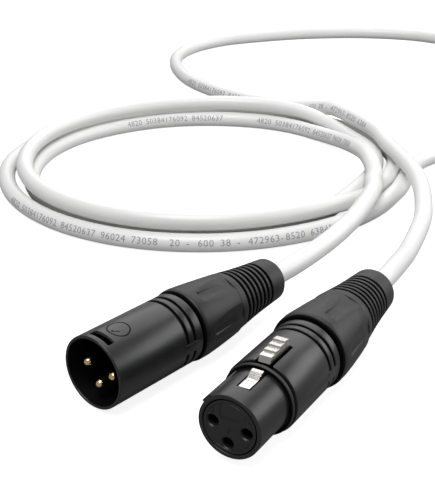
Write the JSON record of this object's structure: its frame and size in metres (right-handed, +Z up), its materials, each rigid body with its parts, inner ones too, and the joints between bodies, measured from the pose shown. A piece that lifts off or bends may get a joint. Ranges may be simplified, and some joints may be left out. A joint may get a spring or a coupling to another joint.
{
  "type": "xlr cable coil",
  "caption": "Coiled microphone cable with a round three-pin plug at one end and a latching three-hole socket at the other, both with screw-on strain reliefs",
  "frame": {"origin": "on the table under the middle of the two connectors' common outline", "axes": "+Z up; +Y away from the viewer towards the coil; +X to the viewer's right; the connectors lie level, their faces turned towards -X -Y"},
  "size_m": [0.2299, 0.4106, 0.0215],
  "materials": {
    "charcoal_coat": "satin charcoal coating on die-cast zinc",
    "black_plastic": "moulded black glass-filled nylon",
    "nut_plastic": "satin dark grey moulded plastic",
    "black_rubber": "soft matt moulded rubber",
    "gold_plate": "gold plated brass",
    "nickel": "satin nickel plate",
    "spring_steel": "plain spring steel",
    "white_jacket": "smooth white flexible PVC",
    "red_insulation": "red core insulation",
    "blue_insulation": "blue core insulation",
    "bare_copper": "twisted copper screen wire"
  },
  "bodies": {
    "cable_and_shells": {"male_shell": "charcoal_coat", "male_insert": "black_plastic", "male_pin_1": "gold_plate", "male_pin_2": "gold_plate", "male_pin_3": "gold_plate", "male_chuck": "black_plastic", "male_conductor_1": "bare_copper", "male_conductor_2": "red_insulation", "male_conductor_3": "blue_insulation", "female_shell": "charcoal_coat", "female_bumper_ring": "black_rubber", "female_insert": "black_plastic", "female_socket_1": "gold_plate", "female_socket_2": "gold_plate", "female_socket_3": "gold_plate", "latch_spring": "spring_steel", "female_chuck": "black_plastic", "female_conductor_1": "bare_copper", "female_conductor_2": "red_insulation", "female_conductor_3": "blue_insulation", "cable_male_lead": "white_jacket", "cable_coil": "white_jacket", "cable_tail": "white_jacket"},
    "latch": {"latch": "nickel"},
    "male_boot": {"male_boot": "black_rubber"},
    "male_nut": {"male_gland_nut": "nut_plastic"},
    "female_boot": {"female_boot": "black_rubber"},
    "female_nut": {"female_gland_nut": "nut_plastic"}
  },
  "joints": [
    {"name": "latch_press", "type": "hinge", "parent": "cable_and_shells", "child": "latch", "pos_m": [0.01223, -0.01404, 0.0157], "axis": [0.8609, -0.5087, 0], "range_deg": [0, 4.5], "stiffness_Nm_per_rad": 0.1, "springref_deg": -5.73, "deforming": ["latch_spring"]},
    {"name": "male_boot_slide", "type": "slide", "parent": "cable_and_shells", "child": "male_boot", "axis": [0.6482, 0.7614, 0], "range_m": [0, 0.0041]},
    {"name": "male_nut_turn", "type": "hinge", "parent": "male_boot", "child": "male_nut", "pos_m": [-0.00985, 0.01482, 0.0102], "axis": [0.6482, 0.7614, 0], "range_deg": [0, 1440]},
    {"name": "female_boot_slide", "type": "slide", "parent": "cable_and_shells", "child": "female_boot", "axis": [0.5087, 0.8609, 0], "range_m": [0, 0.0041]},
    {"name": "female_nut_turn", "type": "hinge", "parent": "female_boot", "child": "female_nut", "pos_m": [0.02112, 0.00219, 0.0102], "axis": [0.5087, 0.8609, 0], "range_deg": [0, 1440]}
  ],
  "couplings": [
    {"joint": "male_boot_slide", "follows": "male_nut_turn", "m_per_rad": 0.00015915},
    {"joint": "female_boot_slide", "follows": "female_nut_turn", "m_per_rad": 0.00015915}
  ]
}
